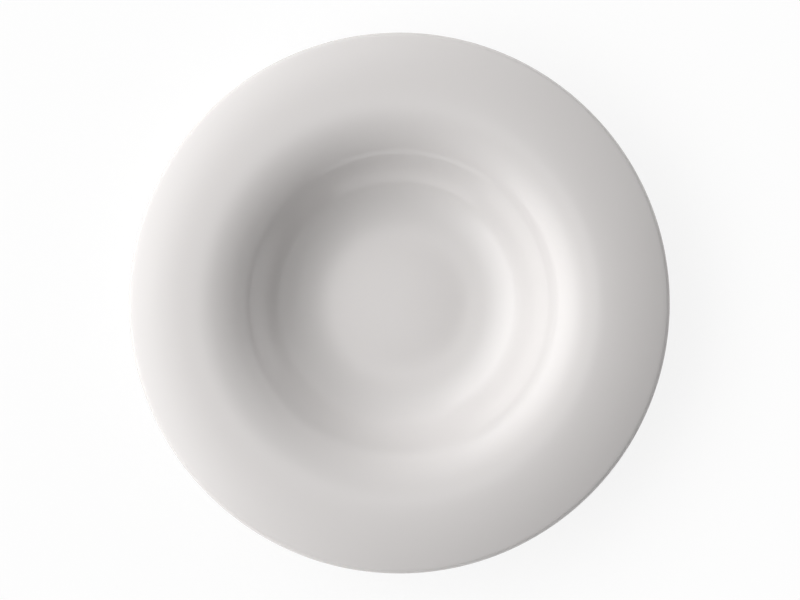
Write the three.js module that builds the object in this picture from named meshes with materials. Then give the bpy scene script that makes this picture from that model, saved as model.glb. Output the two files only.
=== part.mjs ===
// A pasta plate of glazed porcelain: a wide domed rim that rolls down into a round well with a flared wall and a
// crowned floor, on a low foot ring. Its section is a chain of arcs that run smoothly into each other.
// The fired body is one piece. Its glaze is a thin coat of glass, fused on in two patches: one over the face,
// the lip and the back down to the foot, and one over the base inside the foot. The rim of the foot is bare.
// Millimetres, +Z up. The origin is the centre of the foot ring, on the table.
import * as THREE from "three";

// Widths of the face as seen from above, from the axis outwards: one arc each
const FLOOR_DIAMETER = 67; // crowned bottom of the well
const SWEEP_WIDTH = 21.8; // easy hollow that leads out of the floor
const CORNER_WIDTH = 14.7; // tighter hollow that turns up into the wall
const WALL_WIDTH = 12.3; // flared, almost straight wall of the well
const ROLL_WIDTH = 11.1; // tight turn over the mouth of the well
const DOME_WIDTH = 20.3; // broad crest of the rim
const BRIM_WIDTH = 36.3; // from the crest out and down to the edge of the lip

// Slopes where one arc runs into the next, from the horizontal
const SWEEP_SLOPE = THREE.MathUtils.degToRad(19.6);
const CORNER_SLOPE = THREE.MathUtils.degToRad(41.5);
const WALL_SLOPE = THREE.MathUtils.degToRad(43.8);
const ROLL_SLOPE = THREE.MathUtils.degToRad(24.5);
const DOME_FALL = THREE.MathUtils.degToRad(3.6);
const EDGE_FALL = THREE.MathUtils.degToRad(20.9); // where the lip begins

// Crown and thicknesses, with the glaze
const FLOOR_CROWN = 1.8; // rise of the floor towards its centre
const FLOOR_THICKNESS = 5.2;
const WALL_THICKNESS = 4.8; // from the corner to the crest
const LIP_THICKNESS = 4.4; // the rim thins to this
const LIP_ROUND = 3.8; // rounding of the lip on the side of the face

// Foot ring
const FOOT_DIAMETER = 104; // over the outside
const FOOT_WIDTH = 4.8; // across the ring
const FOOT_RECESS = 4; // height of the base where it meets the ring
const FOOT_FILLET = 3; // between the ring and the back of the plate
const BASE_FILLET = 1.2; // between the ring and the base
const FOOT_ROUND = 0.8; // on the two corners of the bare rim

// Glaze
const GLAZE_THICKNESS = 0.3;
const BARE_WALL = 0.5; // height above the rounded corners up to which the foot is wiped bare
const FUSED_GAP = 0.02; // between the faces of glaze and body, which are fused on the real plate

// Facets around the plate, and along each arc of its section
const AROUND = 48;
const FLOOR_STEPS = 2;
const SWEEP_STEPS = 3;
const CORNER_STEPS = 3;
const WALL_STEPS = 1;
const ROLL_STEPS = 3;
const DOME_STEPS = 3;
const BRIM_STEPS = 3;
const LIP_STEPS = 2;
const BACK_STEPS = 2;
const FILLET_STEPS = 2;
const ROUND_STEPS = 2;

// Colours and finishes
const PORCELAIN = { color: 0xe6e0d6, roughness: 0.85, metalness: 0 };
const GLAZE = { color: 0xf1efed, roughness: 0.08, metalness: 0 };

// The tilt of a surface is the turn of its outward side from straight up, over the rim, to straight down
const UP = 0;
const OUTWARDS = Math.PI / 2;
const DOWN = Math.PI;
const INWARDS = (3 * Math.PI) / 2;

// Radii that follow from the driving sizes
const floorRadius = FLOOR_DIAMETER / 2;
const floorTilt = 2 * Math.atan2(FLOOR_CROWN, floorRadius);
const crownRadius = floorRadius / Math.sin(floorTilt);
const sweepRadius = SWEEP_WIDTH / (Math.sin(SWEEP_SLOPE) + Math.sin(floorTilt));
const cornerRadius = CORNER_WIDTH / (Math.sin(CORNER_SLOPE) - Math.sin(SWEEP_SLOPE));
const wallRadius = WALL_WIDTH / (Math.sin(WALL_SLOPE) - Math.sin(CORNER_SLOPE));
const rollRadius = ROLL_WIDTH / (Math.sin(WALL_SLOPE) - Math.sin(ROLL_SLOPE));
const domeRadius = DOME_WIDTH / (Math.sin(ROLL_SLOPE) + Math.sin(DOME_FALL));
const lipReach = LIP_ROUND * (1 - Math.sin(EDGE_FALL));
const brimRadius = (BRIM_WIDTH - lipReach) / (Math.sin(EDGE_FALL) - Math.sin(DOME_FALL));
const lipUnderRound = (LIP_THICKNESS - lipReach) / (1 + Math.sin(EDGE_FALL));
const footOuter = FOOT_DIAMETER / 2;
const footInner = footOuter - FOOT_WIDTH;
const glazeLine = FOOT_ROUND + BARE_WALL;
const baseRadius = crownRadius - FLOOR_THICKNESS;
const crownCentre = FOOT_RECESS - Math.sqrt(baseRadius ** 2 - footInner ** 2);

// The unit vector out of a surface of the given tilt, as distance from the axis and height.
function facing(tilt) {
  return new THREE.Vector2(Math.sin(tilt), Math.cos(tilt));
}

// A line along the plate's surface in section. It runs clockwise where the axis is on the left, and it is kept
// as stations: points of the surface, each with the tilt that the surface has there.
class Section {
  constructor(distance, height, tilt) {
    this.stations = [{ point: new THREE.Vector2(distance, height), tilt }];
  }

  get end() {
    return this.stations.at(-1);
  }

  // An arc that carries on smoothly to the given tilt. It bulges, or is hollow where the radius is negative.
  arc(radius, tilt, steps) {
    const { point, tilt: from } = this.end;
    const centre = point.clone().addScaledVector(facing(from), -radius);
    for (let step = 1; step <= steps; step += 1) {
      const turned = THREE.MathUtils.lerp(from, tilt, step / steps);
      const next = centre.clone().addScaledVector(facing(turned), radius);
      this.stations.push({ point: next, tilt: turned });
    }
    return this;
  }

  // A straight stretch that carries on smoothly for the given length.
  straight(length) {
    const { point, tilt } = this.end;
    const along = facing(tilt + Math.PI / 2);
    this.stations.push({ point: point.clone().addScaledVector(along, length), tilt });
    return this;
  }

  add(stations) {
    this.stations.push(...stations);
    return this;
  }

  // The points of the line that lies at a depth under this one.
  points(depth = 0) {
    return this.stations.map(({ point, tilt }) => point.clone().addScaledVector(facing(tilt), -depth));
  }
}

// The face, from the middle of the floor to where the lip begins.
function faceSection() {
  return new Section(0, crownCentre + crownRadius, UP)
    .arc(crownRadius, floorTilt, FLOOR_STEPS)
    .arc(-sweepRadius, -SWEEP_SLOPE, SWEEP_STEPS)
    .arc(-cornerRadius, -CORNER_SLOPE, CORNER_STEPS)
    .arc(-wallRadius, -WALL_SLOPE, WALL_STEPS)
    .arc(rollRadius, -ROLL_SLOPE, ROLL_STEPS)
    .arc(domeRadius, DOME_FALL, DOME_STEPS)
    .arc(brimRadius, EDGE_FALL, BRIM_STEPS);
}

// The back of the rim and of the wall, from the lip inwards to the foot of the corner. It follows the face at the
// wall's thickness, and comes closer to it as the rim falls away to the lip.
function backStations(face) {
  const cornerFoot = FLOOR_STEPS + SWEEP_STEPS;
  const over = face.stations.slice(cornerFoot, -1).reverse();
  return over.map(({ point, tilt }) => {
    const thinning = Math.max(tilt, UP) / EDGE_FALL;
    const thickness = THREE.MathUtils.lerp(WALL_THICKNESS, LIP_THICKNESS, thinning);
    return { point: point.clone().addScaledVector(facing(tilt), -thickness), tilt: tilt + Math.PI };
  });
}

// The outside of the large glaze patch: the face, the lip, the back, and the outside of the foot down to the
// glaze line. The fillet of the foot touches the round back of the sweep where both have the same tilt.
function coatSection() {
  const coat = faceSection();
  const back = backStations(coat);
  const sweepCentre = floorRadius + sweepRadius * Math.sin(floorTilt);
  const backRadius = sweepRadius + WALL_THICKNESS;
  const reach = footOuter + FOOT_FILLET - sweepCentre;
  const filletTilt = DOWN - Math.asin(reach / (backRadius + FOOT_FILLET));
  coat
    .arc(LIP_ROUND, OUTWARDS, LIP_STEPS)
    .arc(lipUnderRound, EDGE_FALL + Math.PI, LIP_STEPS)
    .add(back)
    .arc(backRadius, filletTilt, BACK_STEPS)
    .arc(-FOOT_FILLET, OUTWARDS, FILLET_STEPS);
  return coat.straight(coat.end.point.y - glazeLine);
}

// The outside of the small glaze patch: the inside of the foot up from the glaze line, and the base, which is
// crowned like the floor above it.
function baseSection() {
  const filletReach = footInner - BASE_FILLET;
  const baseTilt = DOWN + Math.asin(filletReach / (baseRadius - BASE_FILLET));
  const filletHeight = crownCentre + Math.sqrt((baseRadius - BASE_FILLET) ** 2 - filletReach ** 2);
  return new Section(footInner, glazeLine, INWARDS)
    .straight(filletHeight - glazeLine)
    .arc(-BASE_FILLET, baseTilt, FILLET_STEPS)
    .arc(-baseRadius, DOWN, FLOOR_STEPS);
}

// The bare rim of the foot, between the two glaze lines: it stands back from the glaze by its thickness.
function bareSection() {
  const outer = footOuter - GLAZE_THICKNESS;
  const inner = footInner + GLAZE_THICKNESS;
  return new Section(outer, FOOT_ROUND, OUTWARDS)
    .arc(FOOT_ROUND, DOWN, ROUND_STEPS)
    .straight(outer - inner - 2 * FOOT_ROUND)
    .arc(FOOT_ROUND, INWARDS, ROUND_STEPS);
}

// A solid turned about the axis from the points of its section.
function turned(name, points, finish) {
  const geometry = new THREE.LatheGeometry(points.toReversed(), AROUND).rotateX(Math.PI / 2);
  const mesh = new THREE.Mesh(geometry, new THREE.MeshStandardMaterial(finish));
  mesh.name = name;
  return mesh;
}

const coat = coatSection();
const base = baseSection();
const bare = bareSection();
const bodyFace = coat.points(GLAZE_THICKNESS);
const bodyBase = base.points(GLAZE_THICKNESS);
const underCoat = coat.points(GLAZE_THICKNESS - FUSED_GAP);
const underBase = base.points(GLAZE_THICKNESS - FUSED_GAP);

// Each outline starts and ends on the axis
const plate = new THREE.Group();
plate.name = "pasta_plate";
plate.add(
  turned("porcelain_body", [...bodyFace, ...bare.points(), ...bodyBase], PORCELAIN),
  turned("glaze_coat", [...coat.points(), ...underCoat.toReversed()], GLAZE),
  turned("base_glaze", [...underBase.toReversed(), ...base.points()], GLAZE),
);

export default plate;
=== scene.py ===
"""A deep pasta plate of glazed porcelain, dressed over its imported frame.

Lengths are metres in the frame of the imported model: the origin is the centre of the foot ring, on the table,
and +Z is up. In the picture, +X points right and +Y points up.
"""

import logging
import math
from abc import ABC, abstractmethod
from dataclasses import dataclass
from enum import Enum
from typing import Any, Callable, NamedTuple, Sequence, Union

import bpy
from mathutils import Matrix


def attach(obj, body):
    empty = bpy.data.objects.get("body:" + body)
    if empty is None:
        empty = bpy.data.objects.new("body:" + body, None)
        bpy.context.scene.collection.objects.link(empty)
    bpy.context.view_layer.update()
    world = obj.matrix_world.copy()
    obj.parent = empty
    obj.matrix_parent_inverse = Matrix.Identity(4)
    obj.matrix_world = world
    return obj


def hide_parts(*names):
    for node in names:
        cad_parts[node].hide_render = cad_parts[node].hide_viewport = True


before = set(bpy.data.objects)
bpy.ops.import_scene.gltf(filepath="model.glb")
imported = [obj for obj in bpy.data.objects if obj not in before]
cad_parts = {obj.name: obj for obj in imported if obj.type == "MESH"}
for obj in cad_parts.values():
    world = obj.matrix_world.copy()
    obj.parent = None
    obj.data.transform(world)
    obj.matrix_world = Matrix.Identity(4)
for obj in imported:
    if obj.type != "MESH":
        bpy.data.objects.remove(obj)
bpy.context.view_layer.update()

MM = 0.001
ROOT_BODY = "root"
PLATE_LOG = logging.getLogger("pasta_plate")
Colour = tuple[float, float, float, float]
Settings = dict[str, Any]
Sockets = dict[Union[str, int], Any]


def colour(red: float, green: float, blue: float) -> Colour:
    """Gives an opaque colour in linear light."""
    return (red, green, blue, 1.0)


class Node(Enum):
    """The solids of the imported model."""

    BODY = "porcelain_body"
    COAT = "glaze_coat"
    BASE = "base_glaze"


class Slot(Enum):
    """The material slots of the record."""

    PORCELAIN = "porcelain"
    GLAZE = "glaze"


class Facing(Enum):
    """Tilts of a surface: the turn of its outward side from straight up, over the rim, to straight down."""

    UP = 0.0
    OUTWARDS = 0.5 * math.pi
    DOWN = math.pi
    INWARDS = 1.5 * math.pi


class Operation(Enum):
    """The Math nodes that shader expressions use."""

    ADD = "ADD"
    SUBTRACT = "SUBTRACT"
    MULTIPLY = "MULTIPLY"
    DIVIDE = "DIVIDE"
    MINIMUM = "MINIMUM"
    SQUARE_ROOT = "SQRT"
    SINE = "SINE"
    ARCSINE = "ARCSINE"
    ARCCOSINE = "ARCCOSINE"
    GREATER_THAN = "GREATER_THAN"


Number = Union["Level", float]


class Level:
    """A number given by a node, with Python's arithmetic: each operation adds its Math node."""

    def __init__(self, board: "Board", socket: bpy.types.NodeSocket) -> None:
        """Wraps an output socket of a board."""
        self.board = board
        self.socket = socket

    def __add__(self, other: Number) -> "Level":
        """Adds a number or a level."""
        return self.board.maths(Operation.ADD, self, other)

    def __radd__(self, other: float) -> "Level":
        """Adds this level to a number."""
        return self.board.maths(Operation.ADD, other, self)

    def __sub__(self, other: Number) -> "Level":
        """Subtracts a number or a level."""
        return self.board.maths(Operation.SUBTRACT, self, other)

    def __rsub__(self, other: float) -> "Level":
        """Subtracts this level from a number."""
        return self.board.maths(Operation.SUBTRACT, other, self)

    def __mul__(self, other: Number) -> "Level":
        """Multiplies by a number or a level."""
        return self.board.maths(Operation.MULTIPLY, self, other)

    def __rmul__(self, other: float) -> "Level":
        """Multiplies a number by this level."""
        return self.board.maths(Operation.MULTIPLY, other, self)

    def __truediv__(self, other: Number) -> "Level":
        """Divides by a number or a level."""
        return self.board.maths(Operation.DIVIDE, self, other)

    def __rtruediv__(self, other: float) -> "Level":
        """Divides a number by this level."""
        return self.board.maths(Operation.DIVIDE, other, self)

    def __gt__(self, other: Number) -> "Level":
        """Gives 1 where this level is the greater, and 0 elsewhere."""
        return self.board.maths(Operation.GREATER_THAN, self, other)

    def of(self, operation: Operation) -> "Level":
        """Applies an operation that takes one number, such as a sine."""
        return self.board.maths(operation, self)

    def step(self, low: float, high: float) -> "Level":
        """Rises smoothly from 0 to 1 as this level goes from one value to another.

        Args:
            low: The level at which the step is 0. It may be above the other, and the step then falls.
            high: The level at which the step is 1.

        Returns:
            The step, held between 0 and 1.
        """
        settings = {"interpolation_type": "SMOOTHSTEP", "clamp": True}
        if low < high:
            return self.board.level("ShaderNodeMapRange", settings, {0: self, 1: low, 2: high})
        return 1.0 - self.board.level("ShaderNodeMapRange", settings, {0: self, 1: high, 2: low})


class Place(NamedTuple):
    """Where a point of the plate lies, as its nodes see it."""

    point: bpy.types.NodeSocket
    reach: Level
    height: Level
    upward: Level


class Board:
    """The node tree of a material or of the world."""

    # The level about which clouds vary, and the share of a speck's radius that is solid
    CLOUD_MIDDLE = 0.5
    SPECK_CORE = 0.5

    def __init__(self, tree: bpy.types.NodeTree) -> None:
        """Takes a tree and clears it."""
        self.tree = tree
        self.tree.nodes.clear()

    def node(self, kind: str, settings: Settings, sockets: Sockets) -> bpy.types.Node:
        """Adds a node.

        Args:
            kind: The type of the node.
            settings: Its settings, which are set first.
            sockets: Values, levels or sockets for its inputs, by name or by number.

        Returns:
            The new node.
        """
        node = self.tree.nodes.new(kind)
        for name, value in settings.items():
            setattr(node, name, value)
        for key, value in sockets.items():
            self.plug(node.inputs[key], value)
        return node

    def plug(self, target: bpy.types.NodeSocket, value: Any) -> None:
        """Sets an input to a value, or links it to a level or a socket.

        Args:
            target: The input socket.
            value: A plain value, a level or an output socket.
        """
        source = value.socket if isinstance(value, Level) else value
        if isinstance(source, bpy.types.NodeSocket):
            self.tree.links.new(source, target)
        else:
            target.default_value = source

    def level(self, kind: str, settings: Settings, sockets: Sockets) -> Level:
        """Adds a node and takes its first output as a level."""
        return Level(self, self.node(kind, settings, sockets).outputs[0])

    def maths(self, operation: Operation, *numbers: Number) -> Level:
        """Adds a Math node over one or two numbers."""
        return self.level("ShaderNodeMath", {"operation": operation.value}, dict(enumerate(numbers)))

    def mix(self, factor: Number, first: Any, second: Any) -> bpy.types.NodeSocket:
        """Mixes two colours.

        Args:
            factor: The share of the second colour.
            first: A colour or its socket.
            second: A colour or its socket.

        Returns:
            The socket of the mixed colour.
        """
        sockets = {"Factor": factor, "A": first, "B": second}
        node = self.node("ShaderNodeMix", {"data_type": "RGBA"}, {})
        for socket in node.inputs:
            if socket.enabled:
                self.plug(socket, sockets[socket.name])
        return next(socket for socket in node.outputs if socket.enabled)

    def noise(self, place: Place, scale: float, detail: float) -> Level:
        """Gives a cloudy level that varies about the middle.

        Args:
            place: The place on the plate.
            scale: Clouds per metre.
            detail: How many finer layers there are.

        Returns:
            The level of the clouds.
        """
        sockets = {"Vector": place.point, "Scale": scale, "Detail": detail}
        return self.level("ShaderNodeTexNoise", {}, sockets)

    def specks(self, place: Place, scale: float, size: float, share: float) -> Level:
        """Gives small round specks, each in a cell of its own.

        Args:
            place: The place on the plate.
            scale: Cells per metre.
            size: The radius of a speck, as a share of a cell.
            share: The share of cells that hold a speck.

        Returns:
            A level that is 1 in the specks.
        """
        cells = self.node("ShaderNodeTexVoronoi", {}, {"Vector": place.point, "Scale": scale})
        draw = self.level("ShaderNodeSeparateColor", {}, {0: cells.outputs["Color"]})
        speck = Level(self, cells.outputs["Distance"]).step(size, self.SPECK_CORE * size)
        return speck * (draw > 1.0 - share)

    def place(self) -> Place:
        """Finds the point that is shaded, in metres of the plate's own frame.

        Returns:
            The point, its distance from the axis, its height, and how far its outward side looks up.
        """
        ways = self.node("ShaderNodeTexCoord", {}, {})
        point = self.node("ShaderNodeSeparateXYZ", {}, {0: ways.outputs["Object"]})
        across, along, height = (Level(self, output) for output in point.outputs)
        normal = self.node("ShaderNodeSeparateXYZ", {}, {0: ways.outputs["Normal"]})
        reach = (across * across + along * along).of(Operation.SQUARE_ROOT)
        return Place(ways.outputs["Object"], reach, height, Level(self, normal.outputs["Z"]))


class Station(NamedTuple):
    """A point of a section, with the tilt that the surface has there."""

    reach: float
    height: float
    tilt: float

    def under(self, depth: float) -> "Station":
        """Gives the point at a depth under this one."""
        reach = self.reach - depth * math.sin(self.tilt)
        return Station(reach, self.height - depth * math.cos(self.tilt), self.tilt)


class Section:
    """A line along the plate's surface. It runs clockwise where the axis is on the left."""

    # The longest stretch and the largest turn between two stations
    STEP = 1.8 * MM
    TURN = math.radians(9.0)

    def __init__(self, reach: float, height: float, tilt: float) -> None:
        """Starts the line at a point."""
        self.stations = [Station(reach, height, tilt)]

    @property
    def end(self) -> Station:
        """The last station so far."""
        return self.stations[-1]

    def arc(self, radius: float, tilt: float) -> "Section":
        """Carries on smoothly along an arc.

        Args:
            radius: The radius; the arc is hollow where it is negative.
            tilt: The tilt at the end of the arc.

        Returns:
            The section itself.
        """
        start = self.end
        centre = start.under(radius)
        turn = tilt - start.tilt
        steps = max(math.ceil(abs(radius * turn) / self.STEP), math.ceil(abs(turn) / self.TURN))
        for step in range(1, steps + 1):
            turned = centre._replace(tilt=start.tilt + turn * step / steps)
            self.stations.append(turned.under(-radius))
        return self

    def straight(self, length: float) -> "Section":
        """Carries on straight.

        Args:
            length: The length of the straight stretch.

        Returns:
            The section itself.
        """
        start = self.end
        steps = math.ceil(length / self.STEP)
        along = start._replace(tilt=start.tilt + Facing.OUTWARDS.value)
        for step in range(1, steps + 1):
            self.stations.append(along.under(-length * step / steps)._replace(tilt=start.tilt))
        return self

    def follow(self, stations: list[Station]) -> "Section":
        """Carries on through stations that are given."""
        self.stations.extend(stations)
        return self

    def under(self, depth: float) -> list[Station]:
        """Gives the line that lies at a depth under this one."""
        return [station.under(depth) for station in self.stations]


@dataclass(frozen=True)
class PlateForm:
    """The section of the plate, glaze and all, as a chain of arcs that run smoothly into each other."""

    # Widths of the face as seen from above, from the axis outwards
    floor_radius: float = 33.5 * MM
    sweep_width: float = 21.8 * MM
    corner_width: float = 14.7 * MM
    wall_width: float = 12.3 * MM
    roll_width: float = 11.1 * MM
    dome_width: float = 20.3 * MM
    brim_width: float = 36.3 * MM
    # The floor's rise towards its middle, and half the width over which it is led into the sweep
    floor_crown: float = 1.8 * MM
    floor_ease: float = 6.0 * MM
    ease_steps: int = 12
    # Slopes where one arc runs into the next
    sweep_slope: float = math.radians(19.6)
    corner_slope: float = math.radians(41.5)
    wall_slope: float = math.radians(43.8)
    roll_slope: float = math.radians(24.5)
    dome_fall: float = math.radians(3.6)
    edge_fall: float = math.radians(20.9)
    # Thicknesses, and the rounding of the lip on the side of the face
    floor_thickness: float = 5.2 * MM
    wall_thickness: float = 4.8 * MM
    lip_thickness: float = 4.4 * MM
    lip_round: float = 3.8 * MM
    # The foot ring, and the glaze that ends on it
    foot_radius: float = 52.0 * MM
    foot_width: float = 4.8 * MM
    foot_recess: float = 4.0 * MM
    foot_fillet: float = 3.0 * MM
    base_fillet: float = 1.2 * MM
    foot_round: float = 0.8 * MM
    bare_wall: float = 0.5 * MM
    glaze_thickness: float = 0.3 * MM
    # Between the faces of glaze and body, which are fused on the real plate
    fused_gap: float = 0.02 * MM

    @property
    def rim_radius(self) -> float:
        """The widest radius of the plate, at its lip."""
        well = self.floor_radius + self.sweep_width + self.corner_width + self.wall_width
        return well + self.roll_width + self.dome_width + self.brim_width

    @property
    def floor_tilt(self) -> float:
        """The fall of the crowned floor at its edge."""
        return 2.0 * math.atan2(self.floor_crown, self.floor_radius)

    @property
    def crown_radius(self) -> float:
        """The radius of the floor's crown."""
        return self.floor_radius / math.sin(self.floor_tilt)

    @property
    def sweep_radius(self) -> float:
        """The radius of the hollow sweep out of the floor."""
        return self.sweep_width / (math.sin(self.sweep_slope) + math.sin(self.floor_tilt))

    @property
    def lip_reach(self) -> float:
        """How far the rounding of the lip reaches out from the brim."""
        return self.lip_round * (1.0 - math.sin(self.edge_fall))

    @property
    def foot_inside(self) -> float:
        """The radius of the inside of the foot ring."""
        return self.foot_radius - self.foot_width

    @property
    def base_radius(self) -> float:
        """The radius of the crowned base inside the foot."""
        return self.crown_radius - self.floor_thickness

    @property
    def crown_centre(self) -> float:
        """The height of the centre that floor and base are crowned about."""
        return self.foot_recess - math.sqrt(self.base_radius**2 - self.foot_inside**2)

    @property
    def glaze_line(self) -> float:
        """The height down to which the foot is glazed."""
        return self.foot_round + self.bare_wall

    @property
    def coat_thickness(self) -> float:
        """The thickness of the glaze, less its gap to the body."""
        return self.glaze_thickness - self.fused_gap

    @staticmethod
    def chain_radius(width: float, first: float, last: float) -> float:
        """Gives the radius of an arc from its width and the slopes at its ends."""
        return width / (math.sin(last) - math.sin(first))

    def eased_floor(self) -> Section:
        """Gives the crowned floor, and the curve that leads it over into the sweep.

        The curve changes evenly from the crown's to the sweep's. The sweep stays where it is, so the middle
        of the floor drops by what an even change takes off a sudden one.

        Returns:
            The section from the axis to where the sweep's own arc begins.
        """
        bulge = 1.0 / self.crown_radius
        hollow = -1.0 / self.sweep_radius
        drop = (bulge - hollow) * self.floor_ease**2 / 6.0
        floor = Section(0.0, self.crown_centre + self.crown_radius - drop, Facing.UP.value)
        floor.arc(self.crown_radius, math.asin((self.floor_radius - self.floor_ease) * bulge))
        width = 2.0 * self.floor_ease / self.ease_steps
        for step in range(self.ease_steps):
            curve = bulge + (hollow - bulge) * (step + 0.5) / self.ease_steps
            floor.arc(1.0 / curve, math.asin(math.sin(floor.end.tilt) + curve * width))
        return floor

    def face(self) -> Section:
        """Gives the face.

        Returns:
            The section from the middle of the floor to where the lip begins.
        """
        corner = self.chain_radius(self.corner_width, self.sweep_slope, self.corner_slope)
        wall = self.chain_radius(self.wall_width, self.corner_slope, self.wall_slope)
        roll = self.chain_radius(self.roll_width, -self.wall_slope, -self.roll_slope)
        dome = self.chain_radius(self.dome_width, -self.roll_slope, self.dome_fall)
        brim = self.chain_radius(self.brim_width - self.lip_reach, self.dome_fall, self.edge_fall)
        well = self.eased_floor().arc(-self.sweep_radius, -self.sweep_slope)
        well.arc(-corner, -self.corner_slope).arc(-wall, -self.wall_slope)
        return well.arc(roll, -self.roll_slope).arc(dome, self.dome_fall).arc(brim, self.edge_fall)

    def back(self, face: Section) -> list[Station]:
        """Gives the back of the rim and of the wall, from the lip inwards.

        Args:
            face: The face, which the back follows at the wall's thickness; the rim thins towards its lip.

        Returns:
            The stations down to where the corner starts.
        """
        stations = []
        sweep_end = self.floor_radius + self.sweep_width
        for station in reversed(face.stations[:-1]):
            if station.reach > sweep_end:
                thinning = max(station.tilt, Facing.UP.value) / self.edge_fall
                depth = self.wall_thickness + (self.lip_thickness - self.wall_thickness) * thinning
                back = station.under(depth)
                stations.append(back._replace(tilt=station.tilt + math.pi))
        return stations

    def sweep_start(self, centre: float, radius: float) -> Station:
        """Gives the point of the back under the end of the sweep.

        Args:
            centre: How far the sweep's centre lies from the axis.
            radius: The radius of the back of the sweep.

        Returns:
            The station, with the tilt of the back.
        """
        rise = (self.crown_radius + self.sweep_radius) * math.cos(self.floor_tilt)
        middle = Station(centre, self.crown_centre + rise, math.pi - self.sweep_slope)
        return middle.under(-radius)

    def coat(self) -> Section:
        """Gives the outside of the large glaze patch.

        Returns:
            The section from the middle of the floor, over the lip and down the back to the wall of the foot.
        """
        coat = self.face()
        back = self.back(coat)
        under_round = (self.lip_thickness - self.lip_reach) / (1.0 + math.sin(self.edge_fall))
        sweep_centre = self.floor_radius + self.sweep_radius * math.sin(self.floor_tilt)
        sweep_back = self.sweep_radius + self.wall_thickness
        reach = self.foot_radius + self.foot_fillet - sweep_centre
        fillet_tilt = math.pi - math.asin(reach / (sweep_back + self.foot_fillet))
        coat.arc(self.lip_round, Facing.OUTWARDS.value).arc(under_round, self.edge_fall + math.pi)
        coat.follow(back).follow([self.sweep_start(sweep_centre, sweep_back)])
        return coat.arc(sweep_back, fillet_tilt).arc(-self.foot_fillet, Facing.OUTWARDS.value)

    def base(self) -> Section:
        """Gives the outside of the small glaze patch.

        Returns:
            The section from the wall of the foot's inside, over its fillet, to the axis.
        """
        fillet_reach = self.foot_inside - self.base_fillet
        inner = self.base_radius - self.base_fillet
        tilt = math.pi + math.asin(fillet_reach / inner)
        height = self.crown_centre + math.sqrt(inner**2 - fillet_reach**2)
        base = Section(self.foot_inside, height, Facing.INWARDS.value)
        return base.arc(-self.base_fillet, tilt).arc(-self.base_radius, Facing.DOWN.value)

    def bare(self) -> Section:
        """Gives the bare rim of the foot, which stands back from the glaze by its thickness.

        Returns:
            The section from the outside of the foot to its inside.
        """
        outer = self.foot_radius - self.glaze_thickness
        inner = self.foot_inside + self.glaze_thickness
        rim = Section(outer, self.foot_round, Facing.OUTWARDS.value).arc(self.foot_round, Facing.DOWN.value)
        return rim.straight(outer - inner - 2.0 * self.foot_round).arc(self.foot_round, Facing.INWARDS.value)


def turned_mesh(name: str, outline: Callable[[float], list[Station]], around: int) -> bpy.types.Mesh:
    """Turns an outline about the axis into a closed mesh.

    Args:
        name: The name of the mesh.
        outline: Gives the outline at an angle, from axis to axis, always with the same number of stations.
        around: The number of steps around the axis.

    Returns:
        The smooth mesh.
    """
    angles = [2.0 * math.pi * step / around for step in range(around)]
    outlines = [outline(angle) for angle in angles]
    vertices: list[tuple[float, float, float]] = []
    rings: list[list[int]] = []
    last = len(outlines[0]) - 1
    for row in range(last + 1):
        first = len(vertices)
        if row in (0, last):
            vertices.append((0.0, 0.0, outlines[0][row].height))
            rings.append([first] * around)
            continue
        for angle, stations in zip(angles, outlines):
            reach = stations[row].reach
            vertices.append((reach * math.cos(angle), reach * math.sin(angle), stations[row].height))
        rings.append(list(range(first, first + around)))
    faces = []
    for here, there in zip(rings, rings[1:]):
        for step in range(around):
            after = (step + 1) % around
            corners = (here[step], there[step], there[after], here[after])
            faces.append(tuple(dict.fromkeys(corners)))
    mesh = bpy.data.meshes.new(name)
    mesh.from_pydata(vertices, [], faces)
    mesh.polygons.foreach_set("use_smooth", [True] * len(faces))
    mesh.update()
    return mesh


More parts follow.
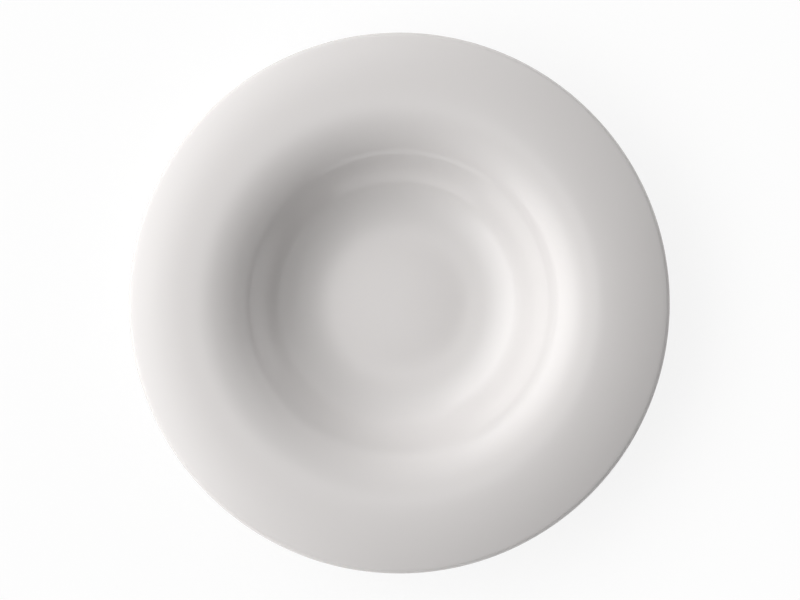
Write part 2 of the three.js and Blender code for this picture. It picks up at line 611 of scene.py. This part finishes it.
@dataclass(frozen=True)
class Glaze:
    """Clear glossy glaze over white porcelain."""

    white: Colour = colour(0.845, 0.818, 0.806)
    thin: Colour = colour(0.79, 0.745, 0.70)
    pooled: Colour = colour(0.80, 0.80, 0.79)
    speck: Colour = colour(0.36, 0.29, 0.22)
    index: float = 1.5
    # How far the outward side looks up where the underside begins, and where it is full
    back_begins: float = -0.1
    back_full: float = -0.3
    # Roughness, its change over the clouds, and what the wiped edge on the foot adds
    gloss: float = 0.07
    gloss_change: float = 0.02
    wiped_gloss: float = 0.16
    wiped_band: float = 1.6 * MM
    # Clouds per metre, and their finer layers in the gloss and in the tint
    cloud_scale: float = 24.0
    gloss_detail: float = 2.0
    tint_detail: float = 3.0
    # Bands where the glaze is thin, on the lip and above the foot's line, and their shares of that colour
    lip_band: float = 1.2 * MM
    lip_share: float = 0.45
    line_band: float = 0.9 * MM
    line_share: float = 0.5
    # Where it pools, around the well's corner and in the foot's fillets, and the shares of that colour
    hollow_inside: float = 22.0 * MM
    hollow_outside: float = 16.0 * MM
    hollow_share: float = 0.12
    fillet_band: float = 3.0 * MM
    fillet_share: float = 0.35
    # The least of that pooling, and what the clouds add
    pool_least: float = 0.6
    pool_change: float = 0.8
    # Specks underneath: cells per metre, radius in cells, share of cells that hold one, and strength
    speck_scale: float = 85.0
    speck_size: float = 0.05
    speck_share: float = 0.16
    speck_strength: float = 0.75
    # Relief: waves and peel per metre, the pitch of the turning rings, and depths in millimetres
    wave_scale: float = 62.0
    wave_depth: float = 0.03
    peel_scale: float = 640.0
    peel_depth: float = 0.0006
    ring_pitch: float = 2.6 * MM
    ring_depth: float = 0.0012

    def material(self, form: PlateForm) -> bpy.types.Material:
        """Makes the material.

        Args:
            form: The plate's section, for where the glaze is thin and where it pools.

        Returns:
            The material.
        """
        material = bpy.data.materials.new("clear_glaze")
        material.use_nodes = True
        board = Board(material.node_tree)
        place = board.place()
        back = place.upward.step(self.back_begins, self.back_full)
        clouds = board.noise(place, self.cloud_scale, self.gloss_detail) - Board.CLOUD_MIDDLE
        wiped = place.height.step(form.glaze_line + self.wiped_band, form.glaze_line)
        sockets = {
            "Base Color": self.tint(board, place, form, back),
            "Roughness": self.gloss + self.gloss_change * clouds + self.wiped_gloss * wiped,
            "IOR": self.index,
            "Normal": self.relief(board, place, back),
        }
        shader = board.node("ShaderNodeBsdfPrincipled", {}, sockets)
        board.node("ShaderNodeOutputMaterial", {}, {"Surface": shader.outputs[0]})
        return material

    def tint(self, board: Board, place: Place, form: PlateForm, back: Level) -> bpy.types.NodeSocket:
        """Colours the glaze: a cloudy white, warmer where it is thin and greyer where it pools.

        Args:
            board: The board of the material.
            place: The place on the plate.
            form: The plate's section.
            back: 1 on the underside, 0 on the face.

        Returns:
            The socket of the colour.
        """
        clouds = board.noise(place, self.cloud_scale, self.tint_detail)
        lip = place.reach.step(form.rim_radius - self.lip_band, form.rim_radius)
        line = place.height.step(form.glaze_line + self.line_band, form.glaze_line)
        corner = form.floor_radius + form.sweep_width
        inside = place.reach.step(corner - self.hollow_inside, corner)
        outside = place.reach.step(corner + self.hollow_outside, corner)
        fillet = place.height.step(form.foot_recess + self.fillet_band, form.foot_recess)
        pooling = self.hollow_share * inside * outside * (1.0 - back) + self.fillet_share * fillet * back
        cloudy = pooling * (self.pool_least + self.pool_change * clouds)
        white = board.mix(cloudy, self.white, self.pooled)
        warm = board.mix(self.lip_share * lip + self.line_share * line, white, self.thin)
        specks = board.specks(place, self.speck_scale, self.speck_size, self.speck_share)
        return board.mix(self.speck_strength * specks * back, warm, self.speck)

    def relief(self, board: Board, place: Place, back: Level) -> bpy.types.NodeSocket:
        """Ripples the glaze: slow waves, a faint peel, and turning rings under the back.

        Args:
            board: The board of the material.
            place: The place on the plate.
            back: 1 on the underside, 0 on the face.

        Returns:
            The socket of the normal.
        """
        waves = board.noise(place, self.wave_scale, 0.0)
        peel = board.noise(place, self.peel_scale, 0.0)
        rings = (place.reach * (2.0 * math.pi / self.ring_pitch)).of(Operation.SINE)
        height = self.wave_depth * waves + self.peel_depth * peel + self.ring_depth * rings * back
        bump = board.node("ShaderNodeBump", {}, {"Strength": 1.0, "Distance": MM, "Height": height})
        return bump.outputs[0]


@dataclass(frozen=True)
class BarePorcelain:
    """Fired porcelain without glaze, rubbed smooth where it stands."""

    clay: Colour = colour(0.80, 0.765, 0.70)
    rubbed: Colour = colour(0.63, 0.59, 0.53)
    speck: Colour = colour(0.30, 0.24, 0.18)
    # Roughness, its change over the grain, and what rubbing takes off it
    matt: float = 0.82
    grain_matt: float = 0.2
    rubbed_matt: float = 0.22
    # Grains per metre, their finer layers, their depth in millimetres, and the share that rubbing takes off
    grain_scale: float = 1900.0
    grain_detail: float = 3.0
    grain_depth: float = 0.03
    grain_loss: float = 0.6
    # How far up the rounding of the foot it is rubbed, how much at least, and how much more in the smudges
    ground_share: float = 0.5
    rubbed_least: float = 0.25
    rubbed_smudge: float = 0.6
    # Smudges per metre, their finer layers, and the levels of noise between which they fade in
    smudge_scale: float = 55.0
    smudge_detail: float = 4.0
    smudge_begins: float = 0.42
    smudge_full: float = 0.68
    # Specks: cells per metre, radius in cells, share of cells that hold one, and strength
    speck_scale: float = 420.0
    speck_size: float = 0.16
    speck_share: float = 0.12
    speck_strength: float = 0.7

    def material(self, form: PlateForm) -> bpy.types.Material:
        """Makes the material.

        Args:
            form: The plate's section, for where the foot is rubbed.

        Returns:
            The material.
        """
        material = bpy.data.materials.new("bare_porcelain")
        material.use_nodes = True
        board = Board(material.node_tree)
        place = board.place()
        grain = board.noise(place, self.grain_scale, self.grain_detail)
        smudges = board.noise(place, self.smudge_scale, self.smudge_detail)
        smudged = smudges.step(self.smudge_begins, self.smudge_full)
        ground = place.height.step(self.ground_share * form.foot_round, 0.0)
        rubbed = ground * (self.rubbed_least + self.rubbed_smudge * smudged)
        clay = board.mix(rubbed * (Board.CLOUD_MIDDLE + grain), self.clay, self.rubbed)
        specks = board.specks(place, self.speck_scale, self.speck_size, self.speck_share)
        height = self.grain_depth * grain * (1.0 - self.grain_loss * ground)
        bump = board.node("ShaderNodeBump", {}, {"Strength": 1.0, "Distance": MM, "Height": height})
        roughness = self.matt - self.rubbed_matt * ground + self.grain_matt * (grain - Board.CLOUD_MIDDLE)
        sockets = {
            "Base Color": board.mix(self.speck_strength * specks, clay, self.speck),
            "Roughness": roughness,
            "Normal": bump.outputs[0],
        }
        shader = board.node("ShaderNodeBsdfPrincipled", {}, sockets)
        board.node("ShaderNodeOutputMaterial", {}, {"Surface": shader.outputs[0]})
        return material


class Wave(NamedTuple):
    """One wave of the glaze line around the foot."""

    count: int
    swing: float
    phase: float


@dataclass(frozen=True)
class WipedEdge:
    """The edge of a glaze patch on the foot: a low bead, which runs slightly wavy where it was wiped."""

    waves: tuple[Wave, ...]
    bead_height: float = 1.4 * MM
    bead_swell: float = 0.12 * MM
    # The share of the bead's height over which it rounds off to the body
    round_share: float = 0.4
    steps: int = 10

    def height(self, line: float, angle: float) -> float:
        """Gives the height of the edge at an angle around the foot."""
        return line + sum(wave.swing * math.sin(wave.count * angle + wave.phase) for wave in self.waves)

    def bead(self, start: Station, line: float, angle: float, thickness: float) -> list[Station]:
        """Gives the stations from the end of the patch down its bead to the body.

        Args:
            start: The end of the patch on the wall of the foot.
            line: The mean height of the edge.
            angle: The angle around the foot.
            thickness: The thickness of the glaze.

        Returns:
            The stations, the last of them on the body.
        """
        low = self.height(line, angle)
        stations = []
        for step in range(1, self.steps + 1):
            share = step / self.steps
            height = low + self.bead_height * (1.0 - share)
            swell = self.bead_swell * math.sin(math.pi * share) ** 2
            rounding = max(0.0, 1.0 - (1.0 - share) / self.round_share)
            inset = min((thickness + self.bead_swell) * rounding**2, thickness)
            wall = start._replace(height=min(height, start.height))
            stations.append(wall.under(inset - swell))
        return stations


@dataclass
class TurnedPiece(ABC):
    """A piece of the plate that is turned about its axis.

    Attributes:
        form: The plate's section.
        name: The name of the piece.
        node: The solid that the piece stands for.
        slot: The material slot of the piece; not used.
        around: The number of steps around the axis.
    """

    form: PlateForm
    name: str
    node: Node
    slot: Slot
    around: int = 192

    @abstractmethod
    def outline(self, angle: float) -> list[Station]:
        """Gives the closed outline at an angle, from axis to axis."""

    def build(self, material: bpy.types.Material) -> bpy.types.Object:
        """Builds and dresses the piece.

        Args:
            material: Its finish.

        Returns:
            The new object, which rides on the plate's body.
        """
        mesh = turned_mesh(self.name, self.outline, self.around)
        mesh.materials.append(material)
        piece = bpy.data.objects.new(self.name, mesh)
        bpy.context.scene.collection.objects.link(piece)
        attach(piece, ROOT_BODY)
        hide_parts(self.node.value)
        PLATE_LOG.info("%s: %d faces", self.name, len(mesh.polygons))
        return piece


@dataclass
class FiredBody(TurnedPiece):
    """The fired porcelain body, bare only on the rim of the foot."""

    name: str = "fired_body"
    node: Node = Node.BODY
    slot: Slot = Slot.PORCELAIN

    def outline(self, angle: float) -> list[Station]:
        """Gives the body's outline under its glaze, which is the same at every angle."""
        depth = self.form.glaze_thickness
        return [*self.form.coat().under(depth), *self.form.bare().stations, *self.form.base().under(depth)]


@dataclass
class GlazeCoat(TurnedPiece):
    """The large glaze patch: over the face, the lip and the back, down to the line on the foot's outside."""

    name: str = "face_and_back_glaze"
    node: Node = Node.COAT
    slot: Slot = Slot.GLAZE
    edge: WipedEdge = WipedEdge((
        Wave(count=5, swing=0.10 * MM, phase=0.4),
        Wave(count=11, swing=0.07 * MM, phase=1.9),
        Wave(count=23, swing=0.04 * MM, phase=2.6),
    ))

    def outline(self, angle: float) -> list[Station]:
        """Gives the patch's closed outline.

        Args:
            angle: The angle around the axis.

        Returns:
            The outside from the axis, the bead, and the inside back to the axis.
        """
        coat = self.form.coat()
        depth = self.form.coat_thickness
        bead = self.edge.bead(coat.end, self.form.glaze_line, angle, depth)
        return [*coat.stations, *bead, *reversed(coat.under(depth))]


@dataclass
class BaseGlaze(TurnedPiece):
    """The small glaze patch: over the base, down to the line on the foot's inside."""

    name: str = "base_glaze_patch"
    node: Node = Node.BASE
    slot: Slot = Slot.GLAZE
    edge: WipedEdge = WipedEdge((
        Wave(count=4, swing=0.11 * MM, phase=2.2),
        Wave(count=9, swing=0.06 * MM, phase=0.3),
        Wave(count=19, swing=0.04 * MM, phase=1.1),
    ))

    def outline(self, angle: float) -> list[Station]:
        """Gives the patch's closed outline.

        Args:
            angle: The angle around the axis.

        Returns:
            The inside from the axis, the bead, and the outside back to the axis.
        """
        base = self.form.base()
        depth = self.form.coat_thickness
        bead = self.edge.bead(base.stations[0], self.form.glaze_line, angle, depth)
        return [*reversed(base.under(depth)), *reversed(bead), *base.stations]


@dataclass(frozen=True)
class Softbox:
    """A soft light far away, as a patch of the world, with its angles in degrees.

    Attributes:
        azimuth: The middle of the patch, turned from +X towards +Y.
        half_width: From the middle to either side.
        side_fade: How far a side fades, inwards and outwards.
        foot: The elevation of the lower edge.
        foot_fade: How far the lower edge fades, down and up.
        full: The elevation from which the light fades towards the top.
        top: The elevation at which it is gone.
        strength: The level of the light, where 1 is white.
    """

    azimuth: float
    half_width: float
    side_fade: float
    foot: float
    foot_fade: float
    full: float
    top: float
    strength: float

    def level(self, across: Level, along: Level, elevation: Level) -> Level:
        """Gives the light that comes from a direction.

        Args:
            across: The direction's share along +X, of a level length of 1.
            along: The direction's share along +Y, of a level length of 1.
            elevation: The direction's angle above the horizon, in degrees.

        Returns:
            The level of light.
        """
        middle = math.radians(self.azimuth)
        cosine = across * math.cos(middle) + along * math.sin(middle)
        aside = cosine.of(Operation.ARCCOSINE) * math.degrees(1.0)
        sides = aside.step(self.half_width + self.side_fade, self.half_width - self.side_fade)
        rise = elevation.step(self.foot - self.foot_fade, self.foot + self.foot_fade)
        return self.strength * sides * rise * elevation.step(self.top, self.full)


@dataclass
class Studio:
    """The pale floor, the soft light and the camera straight above."""

    form: PlateForm
    # The floor: its size, its tone for the light, and its tone and added white where it is seen
    floor_radius: float = 40.0
    floor_drop: float = 0.1 * MM
    floor_steps: int = 64
    floor_tone: Colour = colour(0.85, 0.85, 0.85)
    shadow_tone: Colour = colour(0.18, 0.18, 0.18)
    floor_white: float = 0.85
    softboxes: tuple[Softbox, ...] = (
        # The large light at the left
        Softbox(azimuth=170.0, half_width=54.1, side_fade=9.0, foot=25.8,
                foot_fade=2.6, full=27.0, top=61.2, strength=1.200),
        # The glow above it
        Softbox(azimuth=190.6, half_width=43.5, side_fade=35.5, foot=20.2,
                foot_fade=17.8, full=48.9, top=75.9, strength=1.635),
        # The pale walls around it
        Softbox(azimuth=125.1, half_width=106.3, side_fade=8.6, foot=4.9,
                foot_fade=5.6, full=27.5, top=80.6, strength=0.362),
        # A card at the right
        Softbox(azimuth=10.0, half_width=52.0, side_fade=10.0, foot=17.6,
                foot_fade=1.5, full=19.0, top=35.1, strength=0.450),
        # A low strip at the front
        Softbox(azimuth=266.0, half_width=34.0, side_fade=7.0, foot=7.9,
                foot_fade=0.8, full=14.5, top=17.0, strength=1.000),
        # A low strip at the back
        Softbox(azimuth=92.3, half_width=24.0, side_fade=14.0, foot=7.2,
                foot_fade=1.5, full=15.0, top=35.5, strength=0.500),
        # The ceiling
        Softbox(azimuth=177.6, half_width=133.9, side_fade=20.1, foot=62.6,
                foot_fade=3.2, full=96.1, top=101.4, strength=0.200),
        # A low strip at the left
        Softbox(azimuth=180.5, half_width=55.9, side_fade=14.0, foot=3.0,
                foot_fade=3.0, full=7.0, top=8.0, strength=1.000),
        # A low strip at the right
        Softbox(azimuth=1.4, half_width=26.0, side_fade=14.0, foot=-1.1,
                foot_fade=0.8, full=7.1, top=8.1, strength=0.900),
        # The panel right above
        Softbox(azimuth=179.0, half_width=179.0, side_fade=1.1, foot=78.0,
                foot_fade=12.0, full=94.8, top=100.5, strength=0.800),
        # The pale wall beside the large light
        Softbox(azimuth=132.2, half_width=43.6, side_fade=39.2, foot=17.6,
                foot_fade=2.3, full=51.7, top=71.7, strength=0.814),
        # A narrow bright strip on the horizon, under the large light
        Softbox(azimuth=180.0, half_width=46.0, side_fade=20.0, foot=-0.6,
                foot_fade=0.5, full=1.5, top=3.0, strength=10.800),
    )
    # The camera's height in metres, and its sensor in millimetres
    camera_height: float = 1.8
    sensor: float = 36.0
    # The picture, and where it has the rim, in pixels
    picture_width: float = 800.0
    picture_centre: tuple[float, float] = (400.0, 300.0)
    rim_centre: tuple[float, float] = (399.35, 303.03)
    rim_pixels: float = 270.5

    def build(self) -> None:
        """Builds the floor, the light and the camera."""
        self.build_floor()
        self.build_light()
        self.build_camera()

    def floor_material(self) -> bpy.types.Material:
        """Makes the floor's finish: white to the eye and in reflections, with the plate's soft shadow on it.

        Returns:
            The material.
        """
        material = bpy.data.materials.new("pale_floor")
        material.use_nodes = True
        board = Board(material.node_tree)
        path = board.node("ShaderNodeLightPath", {}, {})
        rays = ("Is Camera Ray", "Is Glossy Ray", "Is Transmission Ray")
        camera, glossy, through = (Level(board, path.outputs[ray]) for ray in rays)
        seen = board.maths(Operation.MINIMUM, camera + glossy + through, 1.0)
        plain = board.node("ShaderNodeBsdfDiffuse", {}, {"Color": self.floor_tone})
        shaded = board.node("ShaderNodeBsdfDiffuse", {}, {"Color": self.shadow_tone})
        glow = board.node("ShaderNodeEmission", {}, {"Strength": self.floor_white})
        white = board.node("ShaderNodeAddShader", {}, {0: shaded.outputs[0], 1: glow.outputs[0]})
        shader = board.node("ShaderNodeMixShader", {}, {0: seen, 1: plain.outputs[0], 2: white.outputs[0]})
        board.node("ShaderNodeOutputMaterial", {}, {"Surface": shader.outputs[0]})
        return material

    def build_floor(self) -> None:
        """Lays a round floor under the plate."""
        mesh = bpy.data.meshes.new("studio_floor")
        turns = [2.0 * math.pi * step / self.floor_steps for step in range(self.floor_steps)]
        radius = self.floor_radius
        edge = [(radius * math.cos(turn), radius * math.sin(turn), -self.floor_drop) for turn in turns]
        mesh.from_pydata(edge, [], [tuple(range(self.floor_steps))])
        mesh.materials.append(self.floor_material())
        floor = bpy.data.objects.new("studio_floor", mesh)
        bpy.context.scene.collection.objects.link(floor)

    def build_light(self) -> None:
        """Lights the plate with the softboxes, all far away."""
        world = bpy.data.worlds.new("studio_light")
        bpy.context.scene.world = world
        world.use_nodes = True
        board = Board(world.node_tree)
        ways = board.node("ShaderNodeTexCoord", {}, {})
        direction = board.node("ShaderNodeSeparateXYZ", {}, {0: ways.outputs["Generated"]})
        across, along, upward = (Level(board, output) for output in direction.outputs)
        length = (across * across + along * along).of(Operation.SQUARE_ROOT)
        level_across = across / length
        level_along = along / length
        elevation = upward.of(Operation.ARCSINE) * math.degrees(1.0)
        levels = [softbox.level(level_across, level_along, elevation) for softbox in self.softboxes]
        light = levels[0]
        for level in levels[1:]:
            light = light + level
        grey = board.node("ShaderNodeCombineColor", {}, {0: light, 1: light, 2: light})
        background = board.node("ShaderNodeBackground", {}, {"Color": grey.outputs[0], "Strength": 1.0})
        board.node("ShaderNodeOutputWorld", {}, {"Surface": background.outputs[0]})

    def build_camera(self) -> None:
        """Hangs the camera straight above, so that the rim takes the place it has in the picture."""
        lip = max(self.form.coat().stations, key=lambda station: station.reach)
        gap = self.camera_height - lip.height
        camera = bpy.data.cameras.new("overhead_camera")
        camera.sensor_width = self.sensor
        camera.lens = self.rim_pixels / self.picture_width * self.sensor * gap / self.form.rim_radius
        metres = self.form.rim_radius / self.rim_pixels
        aside = (self.picture_centre[0] - self.rim_centre[0]) * metres
        above = (self.rim_centre[1] - self.picture_centre[1]) * metres
        holder = bpy.data.objects.new("overhead_camera", camera)
        holder.location = (aside, above, self.camera_height)
        bpy.context.scene.collection.objects.link(holder)
        bpy.context.scene.camera = holder


def main() -> None:
    """Builds the plate's pieces in order, and the studio around them."""
    logging.basicConfig(level=logging.INFO, format="%(name)s: %(message)s")
    form = PlateForm()
    glaze = Glaze().material(form)
    FiredBody(form).build(BarePorcelain().material(form))
    GlazeCoat(form).build(glaze)
    BaseGlaze(form).build(glaze)
    Studio(form).build()
    bpy.context.scene.view_settings.view_transform = "Standard"


if __name__ == "__main__":
    main()
